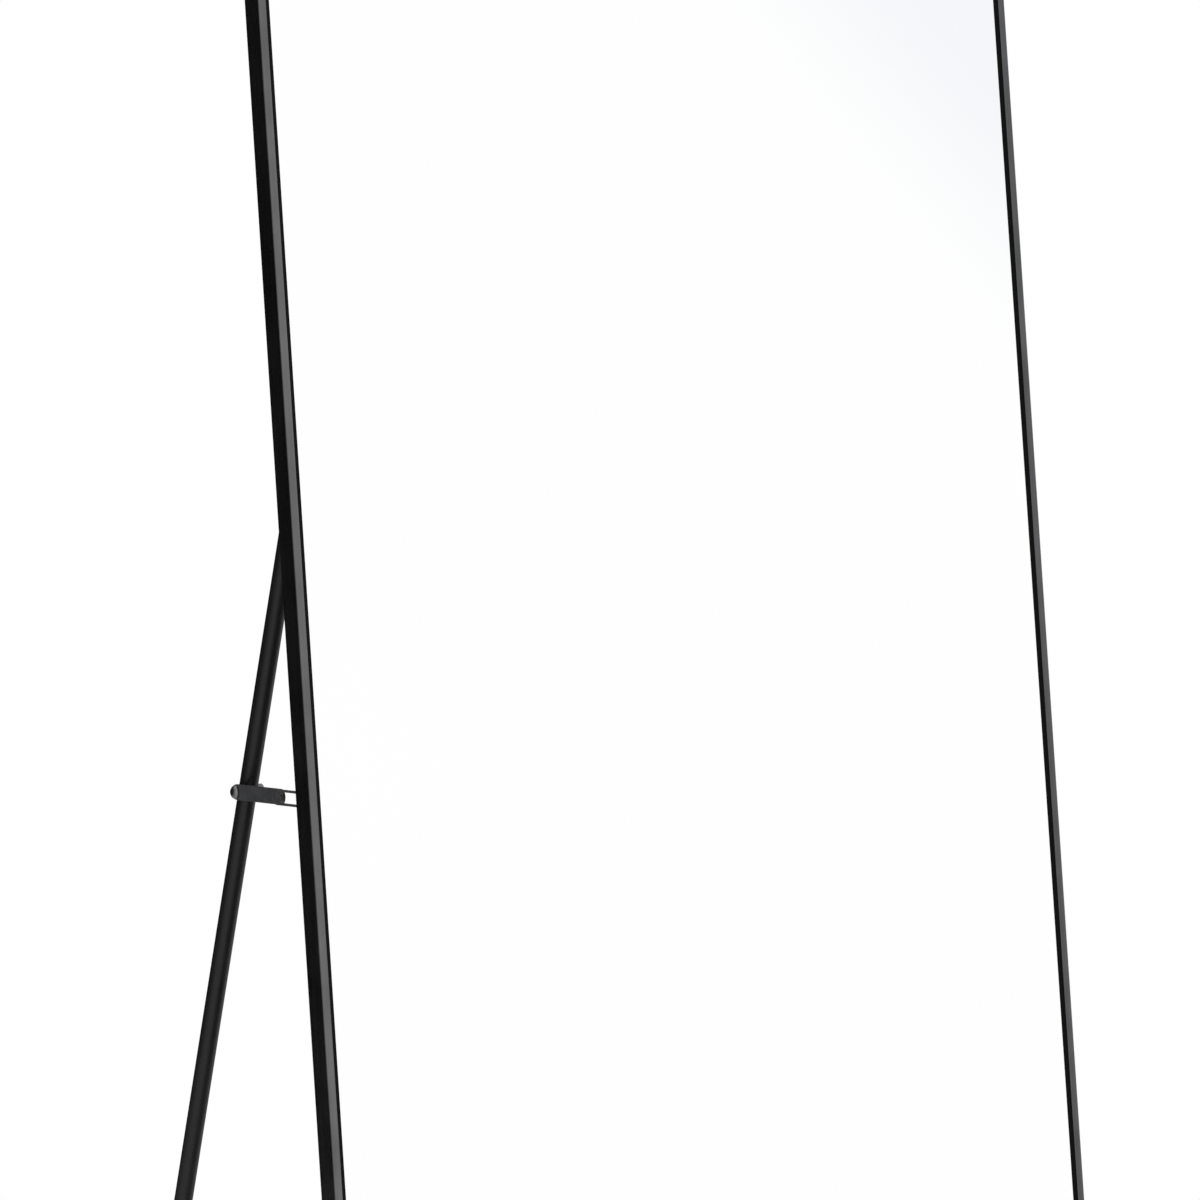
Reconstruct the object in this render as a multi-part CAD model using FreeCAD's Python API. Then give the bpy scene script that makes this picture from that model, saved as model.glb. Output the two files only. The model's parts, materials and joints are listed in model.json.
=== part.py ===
import FreeCAD, Part
import math
import os

Vector = FreeCAD.Vector
Rotation = FreeCAD.Rotation
Placement = FreeCAD.Placement

# A full-length mirror in a slim metal frame, leaning on a folding U-shaped stand that two knee stays
# hold open. Millimetres and degrees, +Z up, the glass faces -Y, the floor is Z = 0 and the origin is the
# middle of the footprint. The mirror is drawn upright in its own frame (x across, y back from the face,
# z up from the lower edge) and leaned back at the end.

# Overall size and stance
mirror_width = 540.0
mirror_height = 1630.0
frame_depth = 20.0
lean_angle = 8.0
stand_opening = 28.0
pivot_height = 850.0

# Section of the frame rails: a front flange, a middle flange and a rear flange on one outer wall
rail_wall = 1.4
front_flange = 5.6
front_flange_thickness = 1.2
front_corner_radius = 2.0
rear_corner_radius = 0.8
middle_flange_thickness = 1.3
groove_depth = 7.5
groove_lip = 1.1
groove_lip_height = 1.2

# What lies in the front groove, from the face backwards
seal_bed = 0.3
seal_lip = 2.4
seal_lip_front = 0.3
seal_lip_edge = 0.4
seal_overlap = 3.0
glass_thickness = 3.0
foam_thickness = 1.0
board_thickness = 3.0
glass_edge_clearance = 1.0
foam_margin = 4.0

# Spring clips between the board and the middle flange
clip_height = 1.5
clip_sheet = 0.5
clip_width = 5.0
clip_foot = 8.0
clip_rise = 5.0
clip_crown = 14.0
clips_per_side = 4
clips_per_end = 2

# Corner keys in the rear groove
key_arm = 45.0
key_screw_distance = 28.0
groove_clearance = 0.15

# Screws of the frame and of the brackets
screw_diameter = 3.0
screw_head_diameter = 5.6
screw_head_height = 1.8
screw_depth = 5.0
screw_hole_clearance = 0.25
thread_clearance = 0.05

# Sheet-metal brackets on the rear flange
bracket_thickness = 2.0
bracket_length = 56.0
bracket_edge_margin = 1.6
bracket_corner_radius = 3.0
bend_radius = 1.5
ear_root = 28.0
hinge_ear_radius = 8.0
stay_ear_radius = 6.5
bracket_screw_spacing = 40.0
nut_strip_thickness = 3.0

# Stand tube and the pivot that it swings on
tube_diameter = 12.0
tube_wall = 1.0
tube_bend_radius = 40.0
tube_top_overhang = 12.0
fold_clearance = 1.5
pivot_bolt_diameter = 6.0
pivot_head_diameter = 10.5
pivot_head_height = 3.0
pivot_nut_width = 10.0
pivot_nut_height = 5.0
pivot_washer_thickness = 0.8
pivot_washer_diameter = 11.0
bolt_tip = 1.2
head_rim = 0.4
cap_height = 3.0
cap_plug_length = 5.0
cap_plug_wall = 1.5
cap_fit = 0.05

# Knee stays
stay_leg_distance = 235.0
stay_frame_distance = 216.0
link_width = 10.0
link_thickness = 2.0
link_slot_width = 7.0
link_slot_margin = 5.6
side_clearance = 0.3
ear_clearance = 0.4
leg_clearance = 0.4
stay_pin_diameter = 5.0
stay_head_diameter = 9.0
stay_head_height = 3.2
rivet_head_height = 1.2
rivet_tail_diameter = 7.6
rivet_tail_height = 0.9
rivet_tail_clearance = 0.2
stay_nut_width = 8.0
stay_nut_height = 4.0
running_clearance = 0.05

# Rubber feet
front_foot_height = 3.0
front_foot_length = 60.0
front_foot_from_edge = 90.0
front_foot_inset = 1.2
front_foot_corner_radius = 4.0
foot_peg_diameter = 4.8
foot_peg_spacing = 36.0
foot_peg_head_diameter = 6.4
foot_peg_head_height = 1.6
foot_peg_clearance = 0.1
stand_foot_length = 45.0
stand_foot_wall = 3.0
stand_foot_toe = 1.5
stand_foot_fit = 0.05
stand_foot_from_bend = 12.0

# Depths in the frame, measured back from its face
glass_front = front_flange_thickness + seal_bed
glass_back = glass_front + glass_thickness
foam_back = glass_back + foam_thickness
board_back = foam_back + board_thickness
middle_front = board_back + clip_height
middle_back = middle_front + middle_flange_thickness
groove_back = frame_depth - rail_wall
groove_middle = (middle_back + groove_back) / 2

# Layers across the left side, measured inwards from the frame's outer side
groove_inner = rail_wall + groove_depth
rear_flange = groove_inner + groove_lip
screw_line = (rail_wall + groove_inner) / 2
stay_ear_outer = rear_flange + ear_clearance
stay_ear_inner = stay_ear_outer + bracket_thickness
front_link_outer = stay_ear_inner + side_clearance
front_link_inner = front_link_outer + link_thickness
rear_link_outer = front_link_inner + side_clearance
rear_link_inner = rear_link_outer + link_thickness
leg_outer = rear_link_inner + leg_clearance
leg_centre = leg_outer + tube_diameter / 2
leg_inner = leg_outer + tube_diameter
hinge_ear_inner = leg_outer - pivot_washer_thickness - running_clearance
hinge_ear_outer = hinge_ear_inner - bracket_thickness

# The pivot stands behind the rear face by this much, so that the folded leg clears the brackets
pivot_offset = tube_diameter / 2 + bracket_thickness + fold_clearance

# Stance: heights above the floor and the length of the leg that brings its crossbar down to it
lean = math.radians(lean_angle)
opening = math.radians(stand_opening)
leg_angle = opening - lean
frame_lift = frame_depth * math.sin(lean) + front_foot_height
pivot_back = frame_depth + pivot_offset
pivot_world_y = pivot_back * math.cos(lean) + pivot_height * math.sin(lean)
pivot_world_z = frame_lift + pivot_height * math.cos(lean) - pivot_back * math.sin(lean)
crossbar_height = tube_diameter / 2 + stand_foot_wall
leg_length = (pivot_world_z - crossbar_height) / math.cos(leg_angle)
crossbar_world_y = pivot_world_y + leg_length * math.sin(leg_angle)
stand_foot_half = tube_diameter / 2 + stand_foot_wall + stand_foot_toe
footprint_rear = crossbar_world_y + stand_foot_half
# The face's rounded lower edge is the foremost line of the leaned frame
corner_swing = math.cos(lean) + math.sin(lean) - 1
footprint_front = front_corner_radius * corner_swing
footprint_middle = (footprint_front + footprint_rear) / 2

# The stay: two links in line when the stand is open, one over the other when it is folded
stay_rise = stay_leg_distance * math.cos(opening) - stay_frame_distance
stay_run = stay_leg_distance * math.sin(opening)
stay_reach = math.hypot(stay_rise, stay_run)
stay_shift = stay_leg_distance - stay_frame_distance
rear_link_length = (stay_reach + stay_shift) / 2
front_link_length = (stay_reach - stay_shift) / 2
rear_link_angle = math.degrees(math.atan2(-stay_run, -stay_rise))
front_link_angle = rear_link_angle + 180

parts = {}


def lean_back(shape):
    """Place a shape drawn in the upright mirror's frame where it stands, leaned back over the floor."""
    stance = Placement(Vector(0, -footprint_middle, frame_lift), Rotation(Vector(1, 0, 0), -lean_angle))
    placed = shape.copy()
    placed.Placement = stance.multiply(placed.Placement)
    return placed


def mirrored(shape):
    """The same piece on the right-hand side."""
    return shape.mirror(Vector(0, 0, 0), Vector(1, 0, 0))


def add_pair(name, left_shape):
    parts[name + "_left"] = lean_back(left_shape)
    parts[name + "_right"] = lean_back(mirrored(left_shape))


def add_group(name, shapes):
    parts[name] = lean_back(Part.makeCompound(shapes))


def on_left(inward, back, down):
    """A point by its distance inwards from the left side, behind the rear face and below the pivot."""
    return Vector(-mirror_width / 2 + inward, frame_depth + back, pivot_height - down)


def closed_face(start, *steps):
    """A face inside straight steps, given as points, and arcs, given as (middle point, end point)."""
    edges = []
    here = start
    for step in steps + (start,):
        if isinstance(step, tuple):
            middle, end = step
            edges.append(Part.Arc(here, middle, end).toShape())
        else:
            end = step
            if here.isEqual(end, 1e-9):
                continue
            edges.append(Part.LineSegment(here, end).toShape())
        here = end
    return Part.Face(Part.Wire(edges))


def rod(radius, start, axis, length):
    return Part.makeCylinder(radius, length, start, axis)


def on_circle(centre, radius, degrees, first, second):
    """The point of a circle at an angle, in the plane of two unit directions."""
    turn = math.radians(degrees)
    return centre + first * (radius * math.cos(turn)) + second * (radius * math.sin(turn))


ACROSS = Vector(1, 0, 0)
BACK = Vector(0, 1, 0)
UP = Vector(0, 0, 1)


# Frame rails: drawn along x from the corner, y back from the face and z inwards from the outer side
def rail_section():
    front_centre = Vector(0, front_corner_radius, front_corner_radius)
    front_arc = on_circle(front_centre, front_corner_radius, 225, BACK, UP)
    rear_centre = Vector(0, frame_depth - rear_corner_radius, rear_corner_radius)
    rear_arc = on_circle(rear_centre, rear_corner_radius, -45, BACK, UP)
    rear_lip_edge = groove_back - groove_lip_height
    middle_lip_edge = middle_back + groove_lip_height
    return closed_face(
        Vector(0, front_corner_radius, 0),
        (front_arc, Vector(0, 0, front_corner_radius)),
        Vector(0, 0, front_flange),
        Vector(0, front_flange_thickness, front_flange),
        Vector(0, front_flange_thickness, rail_wall),
        Vector(0, middle_front, rail_wall),
        Vector(0, middle_front, rear_flange),
        Vector(0, middle_lip_edge, rear_flange),
        Vector(0, middle_lip_edge, groove_inner),
        Vector(0, middle_back, groove_inner),
        Vector(0, middle_back, rail_wall),
        Vector(0, groove_back, rail_wall),
        Vector(0, groove_back, groove_inner),
        Vector(0, rear_lip_edge, groove_inner),
        Vector(0, rear_lip_edge, rear_flange),
        Vector(0, frame_depth, rear_flange),
        Vector(0, frame_depth, rear_corner_radius),
        (rear_arc, Vector(0, frame_depth - rear_corner_radius, 0)),
    )


def mitred(section, length):
    """Extrude a section along a side of the frame and cut both ends at 45 degrees."""
    reach = 2 * rear_flange
    plan = closed_face(
        Vector(0, 0, 0), Vector(length, 0, 0), Vector(length - reach, 0, reach), Vector(reach, 0, reach)
    )
    return section.extrude(Vector(length, 0, 0)).common(plan.extrude(Vector(0, frame_depth, 0)))


FRAME_SIDES = {
    "bottom": (mirror_width, Placement(Vector(-mirror_width / 2, 0, 0), Rotation(BACK, 0))),
    "left": (mirror_height, Placement(Vector(-mirror_width / 2, 0, mirror_height), Rotation(BACK, 90))),
    "top": (mirror_width, Placement(Vector(mirror_width / 2, 0, mirror_height), Rotation(BACK, 180))),
    "right": (mirror_height, Placement(Vector(mirror_width / 2, 0, 0), Rotation(BACK, -90))),
}


def along_side(side, shape):
    """Turn a shape drawn along a rail to its side of the frame."""
    placed = shape.copy()
    placed.Placement = FRAME_SIDES[side][1].multiply(placed.Placement)
    return placed


def frame_screw(along, head_seat, grip):
    """A pan-head screw that enters a rail from behind, its head on a seat behind the face."""
    head = rod(screw_head_diameter / 2, Vector(along, head_seat, screw_line), BACK, screw_head_height)
    rim = [edge for edge in head.Edges if abs(edge.BoundBox.YMin - head_seat - screw_head_height) < 1e-6]
    head = head.makeChamfer(screw_head_height / 3, [edge for edge in rim if edge.Closed])
    start = Vector(along, head_seat - grip, screw_line)
    return head.fuse(rod(screw_diameter / 2 - thread_clearance, start, BACK, grip))


def screw_hole(along, front, back, radius):
    return rod(radius, Vector(along, front, screw_line), BACK, back - front)


def bracket_holes(side, heights):
    """Clearance holes through a side rail's rear flange for the screws of its brackets."""
    holes = []
    for height in heights:
        along = mirror_height - height if side == "left" else height
        for offset in (-bracket_screw_spacing / 2, bracket_screw_spacing / 2):
            radius = screw_diameter / 2 + screw_hole_clearance
            holes.append(screw_hole(along + offset, groove_back, frame_depth, radius))
    return holes


def foot_peg_places():
    places = []
    for middle in (front_foot_from_edge, mirror_width - front_foot_from_edge):
        places += [middle - foot_peg_spacing / 2, middle + foot_peg_spacing / 2]
    return places


def make_rails():
    section = rail_section()
    stay_bracket_height = pivot_height - stay_frame_distance
    key_hole = screw_diameter / 2 + screw_hole_clearance
    for side, (length, _) in FRAME_SIDES.items():
        rail = mitred(section, length)
        cuts = []
        for along in (key_screw_distance, length - key_screw_distance):
            cuts.append(screw_hole(along, groove_back, frame_depth, key_hole))
        if side in ("left", "right"):
            cuts += bracket_holes(side, (pivot_height, stay_bracket_height))
        if side == "bottom":
            for along in foot_peg_places():
                start = Vector(along, groove_middle, 0)
                cuts.append(rod(foot_peg_diameter / 2 + foot_peg_clearance, start, UP, rail_wall))
        parts["rail_" + side] = lean_back(along_side(side, rail.cut(cuts)))


def make_corner_keys():
    """L-shaped keys that slide into the rear grooves of two rails, each arm held by one screw."""
    near = rail_wall + groove_clearance
    far = groove_inner - groove_clearance
    front = middle_back + groove_clearance
    depth = groove_back - front - groove_clearance
    plan = closed_face(
        Vector(near, front, near),
        Vector(key_arm, front, near),
        Vector(key_arm, front, far),
        Vector(far, front, far),
        Vector(far, front, key_arm),
        Vector(near, front, key_arm),
    )
    key = plan.extrude(Vector(0, depth, 0))
    holes = [
        rod(screw_diameter / 2, Vector(key_screw_distance, front, screw_line), BACK, depth),
        rod(screw_diameter / 2, Vector(screw_line, front, key_screw_distance), BACK, depth),
    ]
    key = key.cut(holes)
    corner_of = {"bottom": "bottom_left", "left": "top_left", "top": "top_right", "right": "bottom_right"}
    for side, corner in corner_of.items():
        parts["corner_key_" + corner] = lean_back(along_side(side, key))
    grip = rail_wall + groove_clearance + screw_depth
    screws = []
    for side, (length, _) in FRAME_SIDES.items():
        for along in (key_screw_distance, length - key_screw_distance):
            screws.append(along_side(side, frame_screw(along, frame_depth, grip)))
    add_group("corner_screws", screws)


def pane(edge, front, thickness):
    """A sheet that keeps a distance from the frame's outer sides all round."""
    corner = Vector(-mirror_width / 2 + edge, front, edge)
    return Part.makeBox(mirror_width - 2 * edge, thickness, mirror_height - 2 * edge, corner)


def make_glass_stack():
    edge = rail_wall + glass_edge_clearance
    parts["mirror_glass"] = lean_back(pane(edge, glass_front, glass_thickness))
    parts["foam_sheet"] = lean_back(pane(edge + foam_margin, glass_back, foam_thickness))
    parts["backing_board"] = lean_back(pane(edge, foam_back, board_thickness))


def make_seal():
    """One loop of soft seal: a bed between flange and glass, and a sloping lip over the glass."""
    lip_end = front_flange + seal_lip
    section = closed_face(
        Vector(0, front_flange_thickness, front_flange - seal_overlap),
        Vector(0, front_flange_thickness, front_flange),
        Vector(0, seal_lip_front, front_flange),
        Vector(0, glass_front - seal_lip_edge, lip_end),
        Vector(0, glass_front, lip_end),
        Vector(0, glass_front, front_flange - seal_overlap),
    )
    strips = [along_side(side, mitred(section, length)) for side, (length, _) in FRAME_SIDES.items()]
    parts["glass_seal"] = lean_back(strips[0].multiFuse(strips[1:]).removeSplitter())


def make_spring_clips():
    """Hat-shaped leaf clips: two feet on the board and a crown under the middle flange."""
    crown = clip_crown / 2
    knee = crown + clip_rise
    foot = knee + clip_foot
    inward = rail_wall + glass_edge_clearance
    low, high = board_back, middle_front

    def at(along, depth):
        return Vector(along, depth, inward)

    profile = closed_face(
        at(-foot, low), at(-knee, low), at(-crown, high - clip_sheet), at(crown, high - clip_sheet),
        at(knee, low), at(foot, low), at(foot, low + clip_sheet), at(knee, low + clip_sheet),
        at(crown, high), at(-crown, high), at(-knee, low + clip_sheet), at(-foot, low + clip_sheet),
    )
    clip = profile.extrude(Vector(0, 0, clip_width))
    clips = []
    for side, (length, _) in FRAME_SIDES.items():
        count = clips_per_side if side in ("left", "right") else clips_per_end
        for index in range(count):
            shifted = clip.copy()
            shifted.translate(Vector(length * (index + 0.5) / count, 0, 0))
            clips.append(along_side(side, shifted))
    add_group("spring_clips", clips)


def tangent_point(outside, centre, radius, turn):
    """Where the line from a point touches a circle, in the plane of (down, back); turn picks the side."""
    reach = math.hypot(outside[0] - centre[0], outside[1] - centre[1])
    bearing = math.atan2(outside[1] - centre[1], outside[0] - centre[0])
    angle = bearing + turn * math.acos(radius / reach)
    return centre[0] + radius * math.cos(angle), centre[1] + radius * math.sin(angle)


def bracket(ear_outer, ear_inner, ear_radius, hole_radius, down):
    """An angle bracket: its base screwed on the rear flange, its ear standing back to a pivot."""
    ear_top = pivot_offset + ear_radius
    outer_radius = bend_radius + bracket_thickness
    half = bracket_length / 2
    bend_outer = on_left(ear_inner - outer_radius, outer_radius, down + half)
    bend_inner = on_left(ear_outer - bend_radius, bracket_thickness + bend_radius, down + half)

    def at(inward, back):
        return on_left(inward, back, down + half)

    angle = closed_face(
        at(bracket_edge_margin, 0),
        at(ear_inner - outer_radius, 0),
        (on_circle(bend_outer, outer_radius, -45, ACROSS, BACK), at(ear_inner, outer_radius)),
        at(ear_inner, ear_top),
        at(ear_outer, ear_top),
        at(ear_outer, bracket_thickness + bend_radius),
        (on_circle(bend_inner, bend_radius, -45, ACROSS, BACK),
         at(ear_outer - bend_radius, bracket_thickness)),
        at(bracket_edge_margin, bracket_thickness),
    ).extrude(Vector(0, 0, bracket_length))

    root = ear_root / 2
    low = tangent_point((root, bracket_thickness), (0, pivot_offset), ear_radius, 1)
    high = tangent_point((-root, bracket_thickness), (0, pivot_offset), ear_radius, -1)
    outline = closed_face(
        on_left(0, 0, down + half),
        on_left(0, bracket_thickness, down + half),
        on_left(0, bracket_thickness, down + root),
        on_left(0, low[1], down + low[0]),
        (on_left(0, ear_top, down), on_left(0, high[1], down + high[0])),
        on_left(0, bracket_thickness, down - root),
        on_left(0, bracket_thickness, down - half),
        on_left(0, 0, down - half),
    ).extrude(Vector(ear_inner, 0, 0))
    shape = angle.common(outline)

    corners = []
    for edge in shape.Edges:
        box = edge.BoundBox
        at_outer_side = abs(box.XMax - at(bracket_edge_margin, 0).x) < 1e-6
        if at_outer_side and box.ZLength < 1e-6:
            corners.append(edge)
    shape = shape.makeFillet(bracket_corner_radius, corners)

    holes = [rod(hole_radius, on_left(0, pivot_offset, down), ACROSS, ear_inner)]
    for offset in (-bracket_screw_spacing / 2, bracket_screw_spacing / 2):
        start = on_left(screw_line, 0, down + offset)
        holes.append(rod(screw_diameter / 2 + screw_hole_clearance, start, BACK, bracket_thickness))
    return shape.cut(holes)


def nut_strip(down):
    """A tapped strip inside the rear groove that takes a bracket's screws."""
    near = rail_wall + groove_clearance
    width = groove_inner - groove_clearance - near
    corner = on_left(near, -rail_wall - nut_strip_thickness, down + bracket_length / 2)
    strip = Part.makeBox(width, nut_strip_thickness, bracket_length, corner)
    holes = []
    for offset in (-bracket_screw_spacing / 2, bracket_screw_spacing / 2):
        start = on_left(screw_line, -rail_wall - nut_strip_thickness, down + offset)
        holes.append(rod(screw_diameter / 2, start, BACK, nut_strip_thickness))
    return strip.cut(holes)


def bracket_screws(down):
    """Both sides' screws of one kind of bracket."""
    grip = bracket_thickness + rail_wall + nut_strip_thickness
    screws = []
    for offset in (-bracket_screw_spacing / 2, bracket_screw_spacing / 2):
        along = mirror_height - pivot_height + down + offset
        screw = along_side("left", frame_screw(along, frame_depth + bracket_thickness, grip))
        screws += [screw, mirrored(screw)]
    return screws


def domed_head(radius, height, seat, direction):
    """A low domed head with a straight rim on a seat, turned about a direction."""
    outward = BACK
    dome = height - head_rim
    dome_radius = (radius * radius + dome * dome) / (2 * dome)
    centre = seat + direction * (height - dome_radius)
    rim_angle = math.degrees(math.acos(radius / dome_radius))
    crown_middle = on_circle(centre, dome_radius, (rim_angle + 90) / 2, outward, direction)
    profile = closed_face(
        seat,
        seat + outward * radius,
        seat + outward * radius + direction * head_rim,
        (crown_middle, seat + direction * height),
    )
    return profile.revolve(seat, direction, 360)


def hex_nut(width, height, hole_radius, seat, direction):
    corner = width / math.sqrt(3)
    points = []
    for index in range(6):
        points.append(on_circle(seat, corner, 60 * index, BACK, UP))
    nut = closed_face(*points).extrude(direction * height)
    return nut.cut(rod(hole_radius, seat, direction, height))


def pivot_point(inward):
    return on_left(inward, pivot_offset, 0)


def make_hinges():
    hole = pivot_bolt_diameter / 2 + running_clearance
    add_pair("hinge_bracket", bracket(hinge_ear_outer, hinge_ear_inner, hinge_ear_radius, hole, 0))
    add_pair("hinge_nut_strip", nut_strip(0))
    add_group("hinge_bracket_screws", bracket_screws(0))

    washer_seats = (hinge_ear_inner, leg_inner + running_clearance)
    nut_seat = washer_seats[1] + pivot_washer_thickness
    shank_length = nut_seat + pivot_nut_height + bolt_tip - hinge_ear_outer
    head = domed_head(pivot_head_diameter / 2, pivot_head_height, pivot_point(hinge_ear_outer), -ACROSS)
    shank = rod(pivot_bolt_diameter / 2, pivot_point(hinge_ear_outer), ACROSS, shank_length)
    add_pair("pivot_bolt", head.fuse(shank))

    nut = hex_nut(pivot_nut_width, pivot_nut_height, pivot_bolt_diameter / 2 + thread_clearance,
                  pivot_point(nut_seat), ACROSS)
    add_pair("pivot_nut", nut)
    washers = []
    for seat in washer_seats:
        washer = rod(pivot_washer_diameter / 2, pivot_point(seat), ACROSS, pivot_washer_thickness)
        washer = washer.cut(rod(hole, pivot_point(seat), ACROSS, pivot_washer_thickness))
        washers += [washer, mirrored(washer)]
    add_group("pivot_washers", washers)


def open_stand(shape):
    """Swing a shape drawn with the stand hanging down from the pivot out to the open stand."""
    swing = Placement(Vector(0, pivot_back, pivot_height), Rotation(ACROSS, stand_opening))
    placed = shape.copy()
    placed.Placement = swing.multiply(placed.Placement)
    return placed


def stand_path():
    """Centre line of the U: down the left leg, along the crossbar and up the right leg."""
    side = mirror_width / 2 - leg_centre
    bend = tube_bend_radius
    sweep = bend * (1 - math.sqrt(0.5))
    low = -leg_length

    def at(across, up):
        return Vector(across, 0, up)

    edges = [
        Part.LineSegment(at(-side, tube_top_overhang), at(-side, low + bend)),
        Part.Arc(at(-side, low + bend), at(-side + sweep, low + sweep), at(-side + bend, low)),
        Part.LineSegment(at(-side + bend, low), at(side - bend, low)),
        Part.Arc(at(side - bend, low), at(side - sweep, low + sweep), at(side, low + bend)),
        Part.LineSegment(at(side, low + bend), at(side, tube_top_overhang)),
    ]
    return Part.Wire([edge.toShape() for edge in edges])


def round_tube(path, radius):
    start = path.Edges[0].Vertexes[0].Point
    ring = Part.Wire(Part.makeCircle(radius, start, UP))
    return path.makePipeShell([ring], True, False)


def make_stand():
    path = stand_path()
    radius = tube_diameter / 2
    tube = round_tube(path, radius).cut(round_tube(path, radius - tube_wall))
    side = mirror_width / 2 - leg_centre
    holes = []
    for x in (-side, side):
        for radius_of_hole, height in (
            (pivot_bolt_diameter / 2 + running_clearance, 0),
            (stay_pin_diameter / 2 + thread_clearance, -stay_leg_distance),
        ):
            start = Vector(x - tube_diameter, 0, height)
            holes.append(rod(radius_of_hole, start, ACROSS, 2 * tube_diameter))
    parts["stand_tube"] = lean_back(open_stand(tube.cut(holes)))

    top = Vector(-side, 0, tube_top_overhang)
    plug_radius = radius - tube_wall - cap_fit
    cap = domed_head(radius, cap_height, top, UP)
    plug = rod(plug_radius, top, -UP, cap_plug_length).cut(
        rod(plug_radius - cap_plug_wall, top, -UP, cap_plug_length))
    add_pair("leg_cap", open_stand(cap.fuse(plug)))


def make_stand_feet():
    """Rubber sleeves on the crossbar with a flat sole on the floor, drawn where they stand."""
    bar = Vector(0, crossbar_world_y - footprint_middle, crossbar_height)
    start = -(mirror_width / 2 - leg_centre - tube_bend_radius - stand_foot_from_bend)
    radius = tube_diameter / 2 + stand_foot_wall

    def at(back, up):
        return bar + Vector(start, back, up)

    section = closed_face(
        at(-radius, 0),
        (at(0, radius), at(radius, 0)),
        at(stand_foot_half, -crossbar_height),
        at(-stand_foot_half, -crossbar_height),
    )
    foot = section.extrude(Vector(stand_foot_length, 0, 0))
    foot = foot.cut(rod(tube_diameter / 2 + stand_foot_fit, at(0, 0), ACROSS, stand_foot_length))
    parts["stand_foot_left"] = foot
    parts["stand_foot_right"] = mirrored(foot)


def make_front_feet():
    """Wedge-shaped rubber feet pegged into the bottom rail, level on the floor at the mirror's lean."""
    near, far = front_foot_inset, frame_depth - front_foot_inset
    start = -mirror_width / 2 + front_foot_from_edge - front_foot_length / 2

    def floor_at(y):
        return Vector(start, y, (y * math.sin(lean) - frame_lift) / math.cos(lean))

    wedge = closed_face(Vector(start, near, 0), Vector(start, far, 0), floor_at(far), floor_at(near))
    foot = wedge.extrude(Vector(front_foot_length, 0, 0))
    upright = [edge for edge in foot.Edges if edge.BoundBox.XLength < 1e-6 and edge.BoundBox.YLength < 1e-6]
    foot = foot.makeFillet(front_foot_corner_radius, upright)
    for along in foot_peg_places()[:2]:
        base = Vector(along - mirror_width / 2, groove_middle, 0)
        shoulder = base + UP * (rail_wall + foot_peg_clearance)
        head = Part.makeCone(
            foot_peg_head_diameter / 2, foot_peg_diameter / 2, foot_peg_head_height, shoulder, UP)
        peg = rod(foot_peg_diameter / 2, base, UP, rail_wall + foot_peg_clearance)
        foot = foot.fuse([peg, head])
    add_pair("front_foot", foot)


def link_blank(length):
    """A bar with round ends, hanging down from its first pivot, its outer face at x = 0."""
    half = link_width / 2
    face = closed_face(
        Vector(0, half, 0),
        (Vector(0, 0, half), Vector(0, -half, 0)),
        Vector(0, -half, -length),
        (Vector(0, 0, -length - half), Vector(0, half, -length)),
    )
    return face.extrude(Vector(link_thickness, 0, 0))


def pivot_hole(height):
    return rod(stay_pin_diameter / 2 + running_clearance, Vector(0, 0, height), ACROSS, link_thickness)


def tail_recess(height):
    """A shallow recess in a link's inner face for a flush rivet tail."""
    depth = rivet_tail_height + running_clearance
    start = Vector(link_thickness - depth, 0, height)
    return rod(rivet_tail_diameter / 2 + rivet_tail_clearance, start, ACROSS, depth)


def rear_link():
    """The leg's link: a plain bar."""
    low = -rear_link_length
    return link_blank(rear_link_length).cut([pivot_hole(0), pivot_hole(low), tail_recess(low)])


def front_link():
    """The frame's link: a bar with a long slot between its pivots."""
    low = -front_link_length
    half = link_slot_width / 2
    top = -link_slot_margin - half
    bottom = low + link_slot_margin + half
    slot = closed_face(
        Vector(0, half, top),
        (Vector(0, 0, top + half), Vector(0, -half, top)),
        Vector(0, -half, bottom),
        (Vector(0, 0, bottom - half), Vector(0, half, bottom)),
    ).extrude(Vector(link_thickness, 0, 0))
    return link_blank(front_link_length).cut([slot, pivot_hole(0), pivot_hole(low), tail_recess(0)])


def swung(shape, angle, inward, back, down):
    """Turn a hanging link to an angle from the mirror's plane and hang it on a pivot."""
    place = Placement(on_left(inward, back, down), Rotation(ACROSS, angle))
    placed = shape.copy()
    placed.Placement = place.multiply(placed.Placement)
    return placed


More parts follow.
